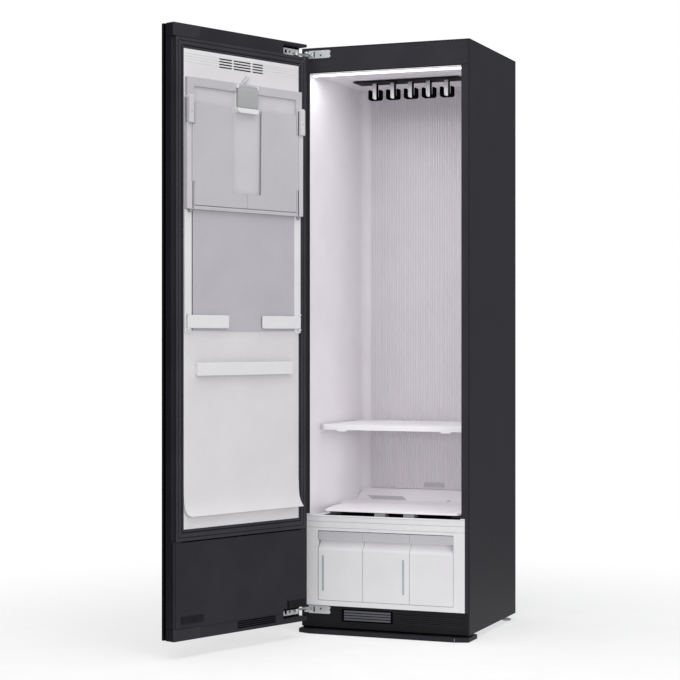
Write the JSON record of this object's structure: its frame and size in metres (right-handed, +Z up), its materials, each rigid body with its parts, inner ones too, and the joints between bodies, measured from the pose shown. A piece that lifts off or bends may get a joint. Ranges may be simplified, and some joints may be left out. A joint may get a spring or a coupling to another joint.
{
  "type": "clothes care steam cabinet",
  "caption": "Tall black steam cabinet for clothes, with a white lit cavity, moving hooks, a shelf, water tanks and a full-height door that carries a trouser press.",
  "frame": {"origin": "on the floor, on the cabinet's centreline, in the plane of its front face", "axes": "+X to the right of a person facing the cabinet, +Y from the front to the back, +Z up"},
  "size_m": [0.7947, 1.1989, 1.96],
  "materials": {
    "black_paint": "satin black coat, faint fine texture, slightly blue",
    "black_plastic": "matt black moulding",
    "black_rubber": "soft black seal rubber, ribbed",
    "white_plastic": "smooth off-white moulding, soft sheen",
    "grey_plastic": "smooth light grey moulding",
    "nickel": "bright nickel plate",
    "sheet_steel": "bare zinc-coated sheet",
    "compressor_iron": "black painted iron shell",
    "fin_aluminium": "thin bare aluminium fins",
    "light_lens": "frosted white diffuser over the lamp strip"
  },
  "bodies": {
    "cabinet": {"side_panel_right": "black_paint", "side_panel_left": "black_paint", "top_cover": "black_paint", "back_panel": "sheet_steel", "cord_gland": "black_rubber", "base_pan": "sheet_steel", "base_bar": "black_plastic", "rear_foot_left": "grey_plastic", "rear_foot_right": "grey_plastic", "toe_kick": "black_plastic", "top_rail": "black_paint", "stile_right": "black_paint", "stile_left": "black_paint", "cavity_liner": "white_plastic", "fluted_back_wall": "white_plastic", "cavity_ceiling": "white_plastic", "light_bar": "light_lens", "cavity_floor": "white_plastic", "lower_fascia": "white_plastic", "tank_bay": "grey_plastic", "hanger_track": "sheet_steel", "hanger_motor": "sheet_steel", "compressor": "compressor_iron", "heat_exchanger": "fin_aluminium", "blower_housing": "black_plastic", "steam_generator": "sheet_steel", "water_pump": "black_plastic", "control_box": "grey_plastic", "hinge_plate_top": "nickel", "hinge_plate_bottom": "nickel"},
    "door": {"door_front_panel": "black_paint", "door_core": "black_plastic", "door_frame": "black_plastic", "door_seal": "black_rubber", "door_lower_cover": "black_plastic", "door_liner": "white_plastic", "press_frame": "white_plastic", "trouser_board": "grey_plastic", "trouser_rest_bar": "white_plastic", "hinge_arm_top": "nickel", "hinge_arm_bottom": "nickel"},
    "hinge_body_links": {"hinge_link_body_top": "nickel", "hinge_link_body_bottom": "nickel"},
    "hinge_door_links": {"hinge_link_door_top": "nickel", "hinge_link_door_bottom": "nickel"},
    "clip_lid": {"clip_lid": "grey_plastic"},
    "press_leaf_hinge_side": {"press_leaf_hinge_side": "grey_plastic"},
    "press_leaf_free_side": {"press_leaf_free_side": "grey_plastic"},
    "holder_arm_hinge_side": {"holder_arm_hinge_side": "white_plastic"},
    "holder_arm_free_side": {"holder_arm_free_side": "white_plastic"},
    "hanger_bar": {"hanger_bar": "black_plastic"},
    "hanger_crank": {"hanger_crank": "grey_plastic"},
    "shelf": {"shelf": "white_plastic"},
    "floor_plate": {"floor_plate": "white_plastic", "lint_filter": "grey_plastic"},
    "water_tank": {"water_tank": "white_plastic"},
    "drain_tank": {"drain_tank": "white_plastic"},
    "side_drawer": {"side_drawer": "white_plastic"},
    "blower_fan": {"blower_fan": "grey_plastic"}
  },
  "joints": [
    {"name": "door_swing", "type": "hinge", "parent": "cabinet", "child": "door", "pos_m": [-0.2992, -0.0718, 1], "axis": [0, 0, -1], "range_deg": [-110.7, 0]},
    {"name": "hinge_body_link_turn", "type": "hinge", "parent": "cabinet", "child": "hinge_body_links", "pos_m": [-0.262, -0.011, 1.008], "axis": [0, 0, -1], "range_deg": [-65.5, 0]},
    {"name": "hinge_door_link_turn", "type": "hinge", "parent": "door", "child": "hinge_door_links", "pos_m": [-0.26617, -0.11678, 1.008], "axis": [0, 0, 1], "range_deg": [-185.5, 0]},
    {"name": "press_leaf_hinge_side_swing", "type": "hinge", "parent": "door", "child": "press_leaf_hinge_side", "pos_m": [-0.24513, -0.16011, 1.556], "axis": [0, 0, 1], "range_deg": [0, 95]},
    {"name": "press_leaf_free_side_swing", "type": "hinge", "parent": "door", "child": "press_leaf_free_side", "pos_m": [-0.40949, -0.5951, 1.556], "axis": [0, 0, -1], "range_deg": [0, 95]},
    {"name": "clip_lid_swing", "type": "hinge", "parent": "door", "child": "clip_lid", "pos_m": [-0.3231, -0.3792, 1.783], "axis": [-0.3535, -0.9354, 0], "range_deg": [0, 95]},
    {"name": "holder_arm_hinge_side_swing", "type": "hinge", "parent": "door", "child": "holder_arm_hinge_side", "pos_m": [-0.24285, -0.14334, 1.038], "axis": [0, 0, 1], "range_deg": [0, 90]},
    {"name": "holder_arm_free_side_swing", "type": "hinge", "parent": "door", "child": "holder_arm_free_side", "pos_m": [-0.41888, -0.60919, 1.038], "axis": [0, 0, -1], "range_deg": [0, 90]},
    {"name": "hanger_shake", "type": "slide", "parent": "cabinet", "child": "hanger_bar", "axis": [1, 0, 0], "range_m": [-0.014, 0.014]},
    {"name": "hanger_crank_turn", "type": "hinge", "parent": "cabinet", "child": "hanger_crank", "pos_m": [0, 0.23, 1.89], "axis": [0, 0, 1], "range_deg": [-45, 45]},
    {"name": "shelf_slide", "type": "slide", "parent": "cabinet", "child": "shelf", "axis": [0, -1, 0], "range_m": [0, 0.15]},
    {"name": "floor_plate_lift", "type": "slide", "parent": "cabinet", "child": "floor_plate", "axis": [0, 0, 1], "range_m": [0, 0.12]},
    {"name": "water_tank_slide", "type": "slide", "parent": "cabinet", "child": "water_tank", "axis": [0, -1, 0], "range_m": [0, 0.2]},
    {"name": "drain_tank_slide", "type": "slide", "parent": "cabinet", "child": "drain_tank", "axis": [0, -1, 0], "range_m": [0, 0.2]},
    {"name": "side_drawer_slide", "type": "slide", "parent": "cabinet", "child": "side_drawer", "axis": [0, -1, 0], "range_m": [0, 0.2]},
    {"name": "blower_fan_spin", "type": "hinge", "parent": "cabinet", "child": "blower_fan", "pos_m": [-0.15, 0.438, 0.19], "axis": [0, 1, 0], "continuous": true}
  ],
  "couplings": [
    {"joint": "hinge_body_link_turn", "follows": "door_swing", "ratio": 0.589},
    {"joint": "hinge_door_link_turn", "follows": "door_swing", "ratio": 1.67},
    {"joint": "hanger_crank_turn", "follows": "hanger_shake", "rad_per_m": -55.37}
  ]
}
